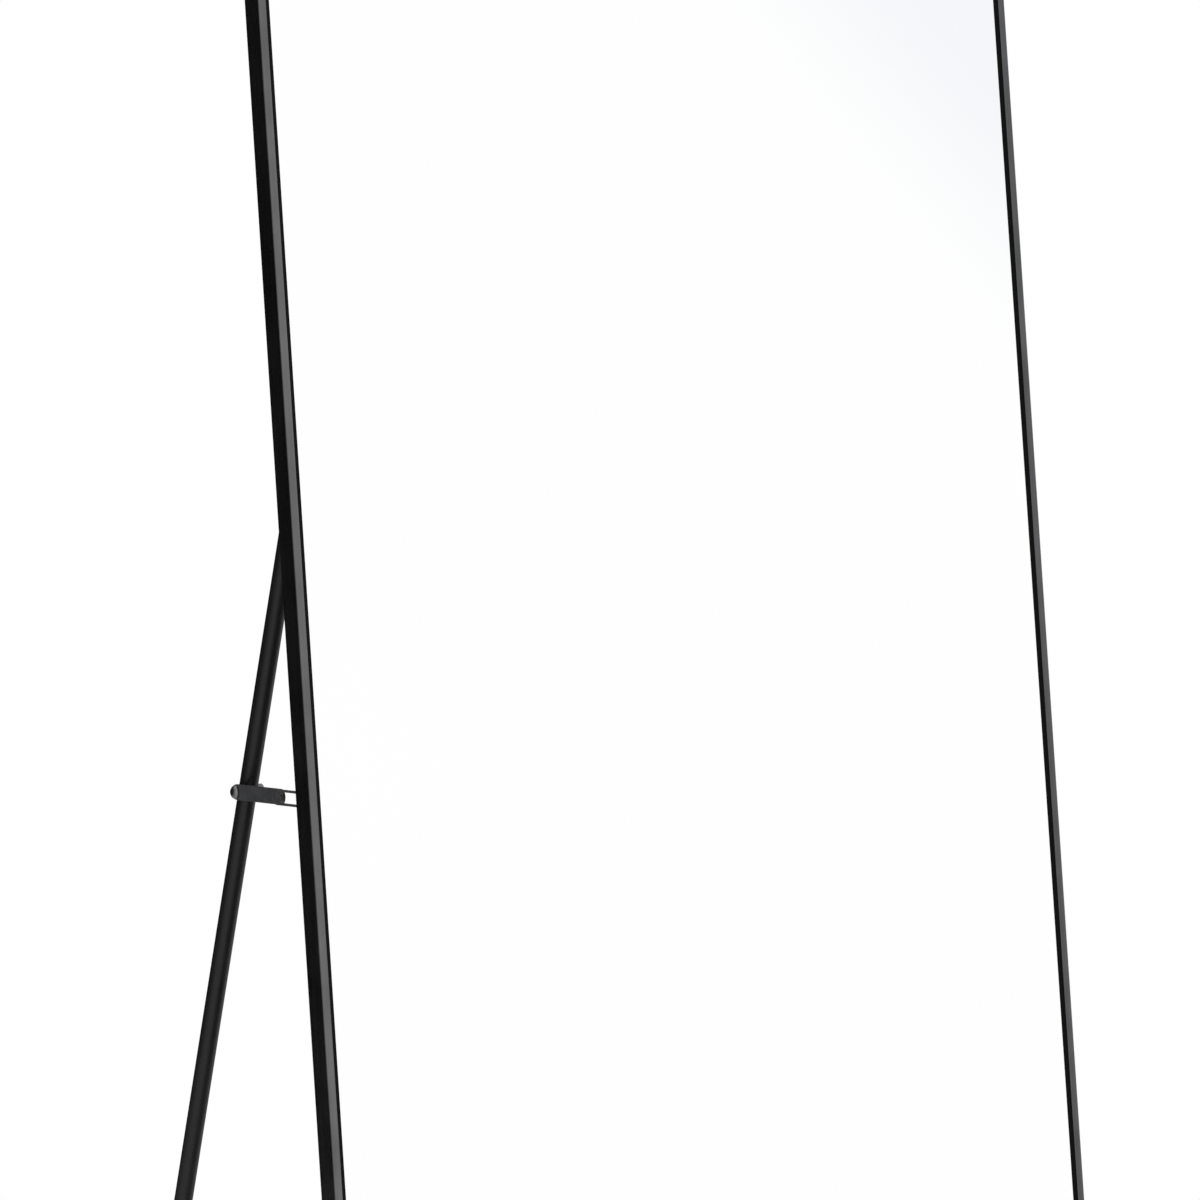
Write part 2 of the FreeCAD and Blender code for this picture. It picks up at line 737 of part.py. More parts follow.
def make_stays():
    leg_down = stay_leg_distance * math.cos(opening)
    leg_back = pivot_offset + stay_leg_distance * math.sin(opening)
    knee_turn = math.radians(rear_link_angle)
    knee_down = leg_down + rear_link_length * math.cos(knee_turn)
    knee_back = leg_back + rear_link_length * math.sin(knee_turn)
    pin_radius = stay_pin_diameter / 2
    tail_radius = rivet_tail_diameter / 2

    add_pair("stay_rear_link", swung(rear_link(), rear_link_angle, rear_link_outer, leg_back, leg_down))
    add_pair("stay_front_link",
             swung(front_link(), front_link_angle, front_link_outer, pivot_offset, stay_frame_distance))

    hole = pin_radius + thread_clearance
    stay_bracket = bracket(stay_ear_outer, stay_ear_inner, stay_ear_radius, hole, stay_frame_distance)
    add_pair("stay_bracket", stay_bracket)
    add_pair("stay_nut_strip", nut_strip(stay_frame_distance))
    add_group("stay_bracket_screws", bracket_screws(stay_frame_distance))

    # Rivet through the bracket's ear and the front link, its tail flush in the link
    ear_seat = on_left(stay_ear_outer, pivot_offset, stay_frame_distance)
    rivet_length = front_link_inner - stay_ear_outer
    tail_seat = on_left(front_link_inner, pivot_offset, stay_frame_distance)
    rivet = domed_head(stay_head_diameter / 2, rivet_head_height, ear_seat, -ACROSS)
    rivet = rivet.fuse([
        rod(pin_radius, ear_seat, ACROSS, rivet_length),
        rod(tail_radius, tail_seat, -ACROSS, rivet_tail_height),
    ])
    add_pair("stay_frame_rivet", rivet)

    # Knee rivet in two halves that meet between the links: head and shank in front, tail behind
    knee_seat = on_left(front_link_outer, knee_back, knee_down)
    head = domed_head(stay_head_diameter / 2, rivet_head_height, knee_seat, -ACROSS)
    add_pair("knee_rivet_head", head.fuse(rod(pin_radius, knee_seat, ACROSS, link_thickness)))
    tail_start = on_left(rear_link_outer, knee_back, knee_down)
    tail_end = on_left(rear_link_inner, knee_back, knee_down)
    tail = rod(pin_radius, tail_start, ACROSS, link_thickness)
    add_pair("knee_rivet_tail", tail.fuse(rod(tail_radius, tail_end, -ACROSS, rivet_tail_height)))

    # Bolt through the rear link and the leg, with a nut on the leg's inner side
    bolt_seat = on_left(rear_link_outer - side_clearance, leg_back, leg_down)
    nut_seat = on_left(leg_inner, leg_back, leg_down)
    bolt_length = nut_seat.x + stay_nut_height + bolt_tip - bolt_seat.x
    bolt = domed_head(stay_head_diameter / 2, stay_head_height, bolt_seat, -ACROSS)
    add_pair("stay_leg_bolt", bolt.fuse(rod(pin_radius, bolt_seat, ACROSS, bolt_length)))
    add_pair("stay_leg_nut", hex_nut(stay_nut_width, stay_nut_height, hole, nut_seat, ACROSS))


make_rails()
make_corner_keys()
make_seal()
make_glass_stack()
make_spring_clips()
make_hinges()
make_stand()
make_stand_feet()
make_front_feet()
make_stays()

os.makedirs("parts", exist_ok=True)
for name, shape in parts.items():
    shape.exportStep("parts/" + name + ".step")
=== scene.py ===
import json
import math

import bmesh
import bpy
from mathutils import Matrix, Vector


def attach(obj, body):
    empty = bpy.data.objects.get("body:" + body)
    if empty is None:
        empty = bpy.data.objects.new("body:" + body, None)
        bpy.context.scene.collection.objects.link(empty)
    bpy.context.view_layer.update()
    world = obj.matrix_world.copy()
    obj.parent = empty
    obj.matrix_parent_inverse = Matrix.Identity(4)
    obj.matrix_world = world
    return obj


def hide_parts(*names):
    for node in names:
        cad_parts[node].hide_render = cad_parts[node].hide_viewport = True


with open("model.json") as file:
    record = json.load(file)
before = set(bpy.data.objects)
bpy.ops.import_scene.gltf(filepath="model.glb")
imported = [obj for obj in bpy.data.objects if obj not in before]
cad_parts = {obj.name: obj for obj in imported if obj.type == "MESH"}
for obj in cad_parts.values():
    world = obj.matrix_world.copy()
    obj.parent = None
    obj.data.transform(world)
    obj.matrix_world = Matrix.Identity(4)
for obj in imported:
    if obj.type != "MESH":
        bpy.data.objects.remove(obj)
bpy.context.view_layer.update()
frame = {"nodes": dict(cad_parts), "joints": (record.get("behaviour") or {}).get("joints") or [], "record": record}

scene = bpy.context.scene
scene.view_settings.view_transform = "Standard"
record = frame["record"]
joint_place = {joint["name"]: Vector(joint["pos_m"]) for joint in frame["joints"]}
body_of = {node: body for body, members in record["behaviour"]["bodies"].items() for node in members}
slot_of = {row["node"]: row["material_slot"] for row in record["subparts"]}

# Sizes in millimetres, as in the solids: the pivot and the stays' ends are measured along the frame and
# the legs, the legs' middle from the frame's outer side
MM = 0.001
HALF_WIDTH = 270.0
HEIGHT = 1630.0
DEPTH = 20.0
LEAN = math.radians(8.0)
OPENING = math.radians(28.0)
PIVOT_HEIGHT = 850.0
PIVOT_BACK = 29.5
STAY_FRAME_DISTANCE = 216.0
STAY_LEG_DISTANCE = 235.0
LEG_CENTRE = 23.4
CROSSBAR_HEIGHT = 9.0
TUBE_RADIUS = 6.0
TUBE_BORE = 5.0
TUBE_BEND = 40.0
TUBE_TOP = 12.0
LEG_LENGTH = (joint_place["stand_fold"].z / MM - CROSSBAR_HEIGHT) / math.cos(OPENING - LEAN)
SIDES = (("_left", -1.0), ("_right", 1.0))

# From the upright mirror's frame (x across, y back from the face, z up) and from the stand's own frame
# (z up its legs from the pivot) to the part's frame
UPRIGHT = Matrix.Rotation(-LEAN, 4, "X") @ Matrix.Scale(MM, 4)
PIVOT = Vector((0.0, PIVOT_BACK, PIVOT_HEIGHT))
MIRROR = Matrix.Translation(joint_place["stand_fold"]) @ UPRIGHT @ Matrix.Translation(-PIVOT)
STAND = (Matrix.Translation(joint_place["stand_fold"]) @ Matrix.Rotation(OPENING - LEAN, 4, "X")
         @ Matrix.Scale(MM, 4))


# Node helpers
def new_material(name):
    """A material that is one Principled shader so far."""
    mat = bpy.data.materials.new(name)
    mat.use_nodes = True
    tree = mat.node_tree
    tree.nodes.clear()
    out = tree.nodes.new("ShaderNodeOutputMaterial")
    shader = tree.nodes.new("ShaderNodeBsdfPrincipled")
    tree.links.new(shader.outputs["BSDF"], out.inputs["Surface"])
    return mat, tree, shader


def body_space(tree, scale=(1.0, 1.0, 1.0), lean=LEAN):
    """Coordinates fixed to the piece, turned upright with the mirror and stretched."""
    coord = tree.nodes.new("ShaderNodeTexCoord")
    upright = tree.nodes.new("ShaderNodeMapping")
    upright.inputs["Rotation"].default_value = (lean, 0.0, 0.0)
    tree.links.new(coord.outputs["Object"], upright.inputs["Vector"])
    stretch = tree.nodes.new("ShaderNodeMapping")
    stretch.inputs["Scale"].default_value = scale
    tree.links.new(upright.outputs["Vector"], stretch.inputs["Vector"])
    return stretch.outputs["Vector"]


def noise(tree, vector, scale, detail=3.0, rough=0.55):
    """Noise with a number of repeats in a metre."""
    node = tree.nodes.new("ShaderNodeTexNoise")
    node.inputs["Scale"].default_value = scale
    node.inputs["Detail"].default_value = detail
    node.inputs["Roughness"].default_value = rough
    tree.links.new(vector, node.inputs["Vector"])
    return node.outputs["Fac"]


def spread(tree, value, low, high, start=0.3, end=0.7, curve="LINEAR"):
    """Map a value between a start and an end to a range."""
    node = tree.nodes.new("ShaderNodeMapRange")
    node.interpolation_type = curve
    node.inputs["From Min"].default_value = start
    node.inputs["From Max"].default_value = end
    node.inputs["To Min"].default_value = low
    node.inputs["To Max"].default_value = high
    tree.links.new(value, node.inputs["Value"])
    return node.outputs["Result"]


def mix(tree, factor, first, second):
    """Mix two colours, each a plain one or another node's, by a factor."""
    node = tree.nodes.new("ShaderNodeMix")
    node.data_type = "RGBA"
    for socket, value in (("A", first), ("B", second)):
        if isinstance(value, tuple):
            node.inputs[socket].default_value = (*value, 1.0)
        else:
            tree.links.new(value, node.inputs[socket])
    tree.links.new(factor, node.inputs["Factor"])
    return node.outputs["Result"]


def tint(tree, value, first, second, start=0.3, end=0.7):
    """Mix two colours by a noise value."""
    return mix(tree, spread(tree, value, 0.0, 1.0, start, end), first, second)


def add(tree, first, second, share):
    """The first value plus a share of the second."""
    node = tree.nodes.new("ShaderNodeMath")
    node.operation = "MULTIPLY_ADD"
    node.inputs[1].default_value = share
    tree.links.new(second, node.inputs[0])
    tree.links.new(first, node.inputs[2])
    return node.outputs["Value"]


def bump(tree, shader, height, strength, distance):
    """Relief by a height, over a distance in metres."""
    node = tree.nodes.new("ShaderNodeBump")
    node.inputs["Strength"].default_value = strength
    node.inputs["Distance"].default_value = distance
    tree.links.new(height, node.inputs["Height"])
    tree.links.new(node.outputs["Normal"], shader.inputs["Normal"])


def dress(tree, shader, pattern, colours, rough, span):
    """Spread a pattern over two colours and a range of roughness."""
    tree.links.new(tint(tree, pattern, *colours, *span), shader.inputs["Base Color"])
    tree.links.new(spread(tree, pattern, *rough, *span), shader.inputs["Roughness"])


def greys(dark, light, blue=0.0):
    """Two greys for a finish to vary between, a little blue if asked."""
    return (dark, dark, dark + blue), (light, light, light + blue)


# Finishes
def satin_metal(name, along, colours):
    """Black anodised aluminium with fine drawn lines and long streaks along a rail."""
    mat, tree, shader = new_material(name)

    def drawn(lengthways, across):
        scale = tuple(lengthways if axis == along else across for axis in "xyz")
        return noise(tree, body_space(tree, scale), scale=1.0, detail=4.0)

    lines = drawn(lengthways=8.0, across=900.0)
    streaks = drawn(lengthways=4.0, across=260.0)
    cloud = noise(tree, body_space(tree), scale=22.0, detail=4.0)
    pattern = add(tree, add(tree, cloud, lines, share=0.35), streaks, share=0.6)
    dress(tree, shader, pattern, colours, rough=(0.26, 0.36), span=(0.72, 1.22))
    shader.inputs["Metallic"].default_value = 1.0
    bump(tree, shader, lines, strength=0.12, distance=0.0002)
    return mat


def grained(name, colours, rough, grain, clouds, relief, distance, metal=0.0, gloss=0.5):
    """A coated, plated or moulded surface: fine grain over slow clouds."""
    mat, tree, shader = new_material(name)
    space = body_space(tree)
    fine = noise(tree, space, scale=grain)
    slow = noise(tree, space, scale=clouds, detail=4.0)
    dress(tree, shader, add(tree, slow, fine, share=0.4), colours, rough, span=(0.4, 0.95))
    shader.inputs["Metallic"].default_value = metal
    shader.inputs["Specular IOR Level"].default_value = gloss
    bump(tree, shader, fine, strength=relief, distance=distance)
    return mat


def powder_coat(name, colours, rough, gloss):
    return grained(name, colours, rough, grain=1400.0, clouds=30.0, relief=0.25, distance=0.0002, gloss=gloss)


def plated_steel(name, colours, rough, metal=1.0):
    return grained(name, colours, rough, grain=1800.0, clouds=160.0, relief=0.1, distance=0.0001, metal=metal)


def rubber(name, colours, rough, grain=1100.0, gloss=0.35):
    return grained(name, colours, rough, grain, clouds=60.0, relief=0.3, distance=0.0002, gloss=gloss)


def ripple(tree, vector, direction, scale):
    """Slightly uneven waves along a direction."""
    node = tree.nodes.new("ShaderNodeTexWave")
    node.bands_direction = direction
    node.inputs["Scale"].default_value = scale
    node.inputs["Distortion"].default_value = 1.2
    node.inputs["Detail"].default_value = 2.0
    node.inputs["Detail Scale"].default_value = 0.4
    tree.links.new(vector, node.inputs["Vector"])
    return node.outputs["Fac"]


def fibre_board(name):
    """Hardboard: pressed fibres, dark flecks and the print of the press screen."""
    mat, tree, shader = new_material(name)
    space = body_space(tree)
    fibres = noise(tree, body_space(tree, scale=(1.0, 1.0, 2.0)), scale=300.0, detail=7.0, rough=0.75)
    flecks = noise(tree, body_space(tree, scale=(2.4, 1.0, 1.0)), scale=520.0, detail=2.0)
    cloud = noise(tree, space, scale=5.0, detail=6.0, rough=0.6)
    shade = add(tree, add(tree, fibres, flecks, share=0.5), cloud, share=0.35)
    brown = tint(tree, shade, (0.060, 0.036, 0.021), (0.175, 0.112, 0.066), start=0.62, end=1.15)
    tree.links.new(brown, shader.inputs["Base Color"])
    tree.links.new(spread(tree, fibres, low=0.5, high=0.72), shader.inputs["Roughness"])
    rows, columns = (ripple(tree, space, direction, scale=190.0) for direction in "XZ")
    screen = add(tree, rows, columns, share=1.0)
    bump(tree, shader, add(tree, screen, fibres, share=1.2), strength=0.35, distance=0.00025)
    return mat


def silvered_glass(name):
    """A mirror with a faint unevenness in its silver."""
    mat, tree, shader = new_material(name)
    cloud = noise(tree, body_space(tree), scale=3.0, detail=2.0)
    silver = tint(tree, cloud, (0.988, 0.991, 0.989), (0.994, 0.996, 0.995))
    tree.links.new(silver, shader.inputs["Base Color"])
    tree.links.new(spread(tree, cloud, low=0.0, high=0.008), shader.inputs["Roughness"])
    shader.inputs["Metallic"].default_value = 1.0
    return mat


def closed_foam(name):
    """White foam with small closed cells."""
    mat, tree, shader = new_material(name)
    cells = noise(tree, body_space(tree), scale=1500.0)
    whites = ((0.70, 0.70, 0.68), (0.82, 0.82, 0.80))
    dress(tree, shader, cells, whites, rough=(0.6, 0.8), span=(0.3, 0.7))
    bump(tree, shader, cells, strength=0.3, distance=0.0002)
    return mat


# By the record's material slots, and for the rails by node, since their lines run along them; the right rail has
# the same finish in darker greys, as painted shade
RAIL_GREYS = greys(0.112, 0.172, blue=0.002)
# The right rail's greys, darker than the other rails': painted shade, as all four rails are one finish
PAINTED_SHADE_RAIL_GREYS = greys(0.078, 0.122, blue=0.002)
level_rail = satin_metal("rail_level", "x", RAIL_GREYS)
finish = {
    "rail_bottom": level_rail,
    "rail_top": level_rail,
    "rail_left": satin_metal("rail_upright", "z", RAIL_GREYS),
    # Painted shade: the right rail in darker greys of the same finish as the others
    "rail_right": satin_metal("rail_painted_shade", "z", PAINTED_SHADE_RAIL_GREYS),
    "mirror_glass": silvered_glass("silvered_glass"),
    "seal_rubber": rubber("seal_rubber", greys(0.0015, 0.004), rough=(0.6, 0.75), gloss=0.08),
    "foot_rubber": rubber("foot_rubber", greys(0.010, 0.020), rough=(0.5, 0.7), grain=700.0),
    "foam_white": closed_foam("closed_foam"),
    "board_fibre": fibre_board("fibre_board"),
    "zinc_steel": plated_steel("zinc_plate", greys(0.42, 0.58, blue=-0.015), rough=(0.25, 0.4)),
    "screw_black": plated_steel("black_oxide", greys(0.035, 0.060), rough=(0.3, 0.45)),
    "bracket_black": powder_coat("bracket_coat", greys(0.007, 0.012, blue=0.0005),
                                 rough=(0.34, 0.46), gloss=0.45),
    "tube_black": powder_coat("tube_coat", greys(0.006, 0.010, blue=0.0005),
                              rough=(0.36, 0.48), gloss=0.36),
    "cap_plastic": rubber("cap_plastic", greys(0.009, 0.014), rough=(0.4, 0.55)),
    "washer_nylon": rubber("nylon", greys(0.02, 0.03), rough=(0.4, 0.5)),
    "link_dark": plated_steel("dark_zinc", greys(0.075, 0.125, blue=0.004), rough=(0.32, 0.46), metal=0.45),
    "bolt_steel": plated_steel("bolt_zinc", greys(0.17, 0.25, blue=0.01), rough=(0.24, 0.36)),
}


def finish_of(node):
    """A node's own finish, or else that of its slot."""
    return finish[node if node in finish else slot_of[node]]


for name, obj in frame["nodes"].items():
    obj.data.materials.clear()
    obj.data.materials.append(finish_of(name))


# Shape helpers, in millimetres
AROUND = 48
ANGLES = [2 * math.pi * i / AROUND for i in range(AROUND)]
QUARTER_TURN = math.pi / 2


def arc(start, end, steps):
    """Even steps from a start to an end, both included."""
    return [start + (end - start) * i / steps for i in range(steps + 1)]


def skin(bm, rings, closed=False):
    """Join rings of equally many points with faces; a ring of one repeated point closes to it."""
    loops = rings + rings[:1] if closed else rings
    for first, second in zip(loops, loops[1:]):
        for i in range(len(first)):
            bm.faces.new(tuple(dict.fromkeys((first[i - 1], first[i], second[i], second[i - 1]))))


def mesh_of(bm):
    mesh = bpy.data.meshes.new("shape")
    bm.to_mesh(mesh)
    bm.free()
    return mesh


def turned(profile, closed=False):
    """Turn (height, radius) points about +Z; either may be a list with a value for each angle."""
    bm = bmesh.new()

    def each(value):
        return value if isinstance(value, list) else [value] * AROUND

    rings = []
    for height, radius in profile:
        if radius == 0.0:
            rings.append([bm.verts.new((0.0, 0.0, height))] * AROUND)
            continue
        rings.append([bm.verts.new((reach * math.cos(angle), reach * math.sin(angle), level))
                      for level, reach, angle in zip(each(height), each(radius), ANGLES)])
    skin(bm, rings, closed)
    return mesh_of(bm)


def facing(place, axis, spin):
    """A frame at a place whose +Z looks along an axis."""
    turn = Vector((0.0, 0.0, 1.0)).rotation_difference(Vector(axis)).to_matrix().to_4x4()
    return Matrix.Translation(Vector(place)) @ turn @ Matrix.Rotation(spin, 4, "Z")


def piece(node, suffix, copies, smooth=30.0):
    """Stand copies of meshes, each with its place in the part's frame, for a solid of the same name.
    Edges that turn by more than the smooth angle, in degrees, stay sharp."""
    bm = bmesh.new()
    for shape, place in copies:
        start = len(bm.verts)
        bm.from_mesh(shape)
        bm.verts.ensure_lookup_table()
        bmesh.ops.transform(bm, matrix=place, verts=bm.verts[start:])
    bmesh.ops.recalc_face_normals(bm, faces=bm.faces)
    mesh = mesh_of(bm)
    mesh.shade_smooth()
    mesh.set_sharp_from_angle(angle=math.radians(smooth))
    mesh.materials.append(finish_of(node))
    obj = bpy.data.objects.new(node + suffix, mesh)
    scene.collection.objects.link(obj)
    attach(obj, body_of[node])
    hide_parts(node)


# Fasteners: heads up on their seats at zero
HEAD_EDGE = 0.25
CROWN_STEPS = 5
RECESS_MARGIN = 0.2
RECESS_STEPS = 2
RECESS_POINT = 0.2
THREAD_PITCH = 0.9
THREAD_DEPTH = 0.32
TIP_CHAMFER = 0.5
NUT_CHAMFER = 0.45
NUT_CHAMFER_STEPS = 4
COLLAR_INSET = 0.9
COLLAR_TOP_INSET = 1.4
COLLAR_BEVEL = 0.4
# As shares: the thread's floor of its pitch; the cross's arms of the head's radius; rims and recesses of
# the head's height; a recess's floor of its mouth
THREAD_FLOOR = (0.5, 0.7)
CROSS_ARM = 0.58
CROSS_HALF_WIDTH = 0.14
CROSS_DEPTH = 0.55
CROSS_FLOOR = 0.7
PAN_RIM = 0.4
SOCKET_DEPTH = 0.6
SOCKET_FLOOR = 1.0
DOME_RIM = 0.17


def hexagon(flat):
    """How far a hexagon reaches at each angle, its flats at a distance from the middle."""
    sector = math.pi / 3
    return [flat / math.cos((angle + sector / 2) % sector - sector / 2) for angle in ANGLES]


def cross(arm, half_width):
    """How far a cross reaches at each angle."""
    outline = []
    for angle in ANGLES:
        off = abs((angle + QUARTER_TURN / 2) % QUARTER_TURN - QUARTER_TURN / 2)
        along_arm = arm / math.cos(off)
        outline.append(min(along_arm, half_width / math.sin(off)) if off > 0.0 else along_arm)
    return outline


def head(radius, height, rim, recess, depth, floor):
    """Points of a domed head from its seat up to its crown and down into a recess of some outline."""
    rise = height - rim
    ball = (radius * radius + rise * rise) / (2 * rise)

    def crown(reach):
        return height - ball + math.sqrt(ball * ball - reach * reach)

    inner = max(recess) + RECESS_MARGIN
    points = [(0.0, radius - HEAD_EDGE), (HEAD_EDGE, radius)]
    points += [(crown(reach), reach) for reach in arc(radius, inner, CROWN_STEPS)]
    for share in arc(0.0, 1.0, RECESS_STEPS)[1:]:
        outline = [inner + share * (reach - inner) for reach in recess]
        points.append(([crown(reach) for reach in outline], outline))
    points.append((height - depth, [floor * reach for reach in recess]))
    return points + [(height - depth - RECESS_POINT, 0.0)]


def thread(radius, tip, end):
    """Points of a threaded shank from its tip up to the thread's end."""
    points = [(tip, 0.0), (tip, radius - TIP_CHAMFER), (tip + TIP_CHAMFER, radius)]
    height = tip + TIP_CHAMFER
    while height + THREAD_PITCH < end:
        points += [(height + share * THREAD_PITCH, radius - THREAD_DEPTH) for share in THREAD_FLOOR]
        height += THREAD_PITCH
        points.append((height, radius))
    return points


def pan_screw(radius, height, shank, length):
    """A cross-recessed pan-head screw."""
    blunt = [(-length, 0.0), (-length, shank - TIP_CHAMFER), (TIP_CHAMFER - length, shank), (0.0, shank)]
    recess = cross(CROSS_ARM * radius, CROSS_HALF_WIDTH * radius)
    top = head(radius, height, PAN_RIM * height, recess, CROSS_DEPTH * height, CROSS_FLOOR)
    return turned(blunt + top)


def socket_bolt(radius, height, shank, length, threaded, socket):
    """A domed bolt with a hexagon socket and a threaded end."""
    shaft = thread(shank, -length, threaded - length) + [(0.0, shank)]
    recess = hexagon(socket / 2)
    top = head(radius, height, DOME_RIM * height, recess, SOCKET_DEPTH * height, SOCKET_FLOOR)
    return turned(shaft + top)


def hex_nut(width, height, bore, collar):
    """A nut with chamfered corners, a bore and, on a locking nut, a round collar."""
    flat = width / 2
    body = height - collar
    outline = hexagon(flat)
    lower = []
    for share in arc(0.0, 1.0, NUT_CHAMFER_STEPS):
        limit = flat + share * (max(outline) - flat)
        lower.append((share * NUT_CHAMFER, [min(limit, reach) for reach in outline]))
    profile = lower + [(body - level, radii) for level, radii in reversed(lower)]
    if collar:
        profile += [(body, flat - COLLAR_INSET), (height - COLLAR_BEVEL, flat - COLLAR_INSET),
                    (height, flat - COLLAR_TOP_INSET)]
    return turned(profile + [(height, bore), (0.0, bore)], closed=True)


SCREW_LINE = 5.15
KEY_SCREW_DISTANCE = 28.0
BRACKET_SCREWS = (-20.0, 20.0)
BRACKET_THICKNESS = 2.0
SCREW_SPIN = 0.7


def make_screws():
    """The frame's and the brackets' screws, each turned a little further than the last."""
    screw = pan_screw(radius=2.8, height=1.8, shank=1.45, length=6.0)
    side = HALF_WIDTH - SCREW_LINE
    end = HALF_WIDTH - KEY_SCREW_DISTANCE
    places = {"corner_screws": []}
    for x, inset in ((end, SCREW_LINE), (side, KEY_SCREW_DISTANCE)):
        for z in (inset, HEIGHT - inset):
            places["corner_screws"] += [(x, DEPTH, z), (-x, DEPTH, z)]
    for node, height in (("hinge_bracket_screws", PIVOT_HEIGHT),
                         ("stay_bracket_screws", PIVOT_HEIGHT - STAY_FRAME_DISTANCE)):
        places[node] = [(x, DEPTH + BRACKET_THICKNESS, height + offset)
                        for x in (-side, side) for offset in BRACKET_SCREWS]
    count = 0
    for node, seats in places.items():
        copies = []
        for seat in seats:
            count += 1
            copies.append((screw, MIRROR @ facing(seat, (0.0, 1.0, 0.0), SCREW_SPIN * count)))
        piece(node, "_detail", copies)


# Seats of bolts and nuts, in from the frame's outer side, and how far a bolt's tip passes its nut
PIVOT_BOLT_SEAT = 14.55
PIVOT_NUT_SEAT = 30.25
PIVOT_NUT_HEIGHT = 5.0
LEG_BOLT_SEAT = 14.7
LEG_NUT_SEAT = 29.4
LEG_NUT_HEIGHT = 4.0
BOLT_TIP = 1.2
BOLT_SPIN = 0.3


def make_bolts():
    """Bolts and nuts of the stand's pivots and of the stays' ends on the legs."""
    pivot_length = PIVOT_NUT_SEAT + PIVOT_NUT_HEIGHT + BOLT_TIP - PIVOT_BOLT_SEAT
    leg_length = LEG_NUT_SEAT + LEG_NUT_HEIGHT + BOLT_TIP - LEG_BOLT_SEAT
    pivot_bolt = socket_bolt(radius=5.25, height=3.0, shank=3.0, length=pivot_length,
                             threaded=8.0, socket=4.0)
    pivot_nut = hex_nut(width=10.0, height=PIVOT_NUT_HEIGHT, bore=3.05, collar=1.2)
    leg_bolt = socket_bolt(radius=4.5, height=3.2, shank=2.5, length=leg_length,
                           threaded=7.0, socket=3.0)
    leg_nut = hex_nut(width=8.0, height=LEG_NUT_HEIGHT, bore=2.55, collar=0.0)
    at_pivot = (MIRROR, PIVOT_BACK, PIVOT_HEIGHT)
    at_leg = (STAND, 0.0, -STAY_LEG_DISTANCE)
    for side, sign in SIDES:
        for node, shape, (stance, back, up), inward, axis in (
            ("pivot_bolt", pivot_bolt, at_pivot, PIVOT_BOLT_SEAT, sign),
            ("pivot_nut", pivot_nut, at_pivot, PIVOT_NUT_SEAT, -sign),
            ("stay_leg_bolt", leg_bolt, at_leg, LEG_BOLT_SEAT, sign),
            ("stay_leg_nut", leg_nut, at_leg, LEG_NUT_SEAT, -sign),
        ):
            seat = (sign * (HALF_WIDTH - inward), back, up)
            piece(node + side, "_detail", [(shape, stance @ facing(seat, (axis, 0.0, 0.0), BOLT_SPIN))])


# Stand
BEND_STEPS = 20


def make_tube():
    """The U-shaped tube with smooth bends and open ends."""
    side = HALF_WIDTH - LEG_CENTRE
    path = [(-side, TUBE_TOP, 0.0)]
    for sign, start in ((-1.0, 0.0), (1.0, QUARTER_TURN)):
        for turn in arc(start, start + QUARTER_TURN, BEND_STEPS):
            x = sign * (side - TUBE_BEND) - TUBE_BEND * math.cos(turn)
            path.append((x, TUBE_BEND - LEG_LENGTH - TUBE_BEND * math.sin(turn), turn))
    path.append((side, TUBE_TOP, math.pi))
    bm = bmesh.new()

    def ring(x, z, turn, radius):
        return [bm.verts.new((x - radius * math.cos(angle) * math.cos(turn), radius * math.sin(angle),
                              z - radius * math.cos(angle) * math.sin(turn))) for angle in ANGLES]

    outer = [ring(*step, TUBE_RADIUS) for step in path]
    inner = [ring(*step, TUBE_BORE) for step in reversed(path)]
    skin(bm, outer + inner, closed=True)
    piece("stand_tube", "_smooth", [(mesh_of(bm), STAND)], smooth=40.0)


SLEEVE_ARCH = 9.0
SLEEVE_ARCH_STEPS = 24
SLEEVE_SOLE = 10.5
SLEEVE_BORE = 6.03
SLEEVE_LENGTH = 45.0
SLEEVE_FROM_BEND = 12.0
SLEEVE_GROOVES = 5
SOLE_EDGE = 0.7
# Places along an end, or from a groove's middle, and how far the sleeve is drawn in there
SLEEVE_END = ((0.0, 0.9), (0.5, 0.25), (1.2, 0.0))
SLEEVE_GROOVE = ((-1.5, 0.0), (-0.9, 0.55), (0.9, 0.55), (1.5, 0.0))


def sleeve_outline(shrink):
    """A sleeve's section: round over the crossbar, flared below to a flat sole with softened edges."""
    arch = SLEEVE_ARCH - shrink
    sole = SLEEVE_SOLE - shrink
    over = [(arch * math.cos(turn), arch * math.sin(turn)) for turn in arc(0.0, math.pi, SLEEVE_ARCH_STEPS)]
    flank = []
    for drop in (CROSSBAR_HEIGHT / 3, 2 * CROSSBAR_HEIGHT / 3, CROSSBAR_HEIGHT - SOLE_EDGE):
        flank.append((arch + (sole - arch) * drop / CROSSBAR_HEIGHT, -drop))
    flank += [(sole - SOLE_EDGE, -CROSSBAR_HEIGHT), (sole / 2, -CROSSBAR_HEIGHT)]
    return over + [(-y, z) for y, z in flank] + [(0.0, -CROSSBAR_HEIGHT)] + flank[::-1]


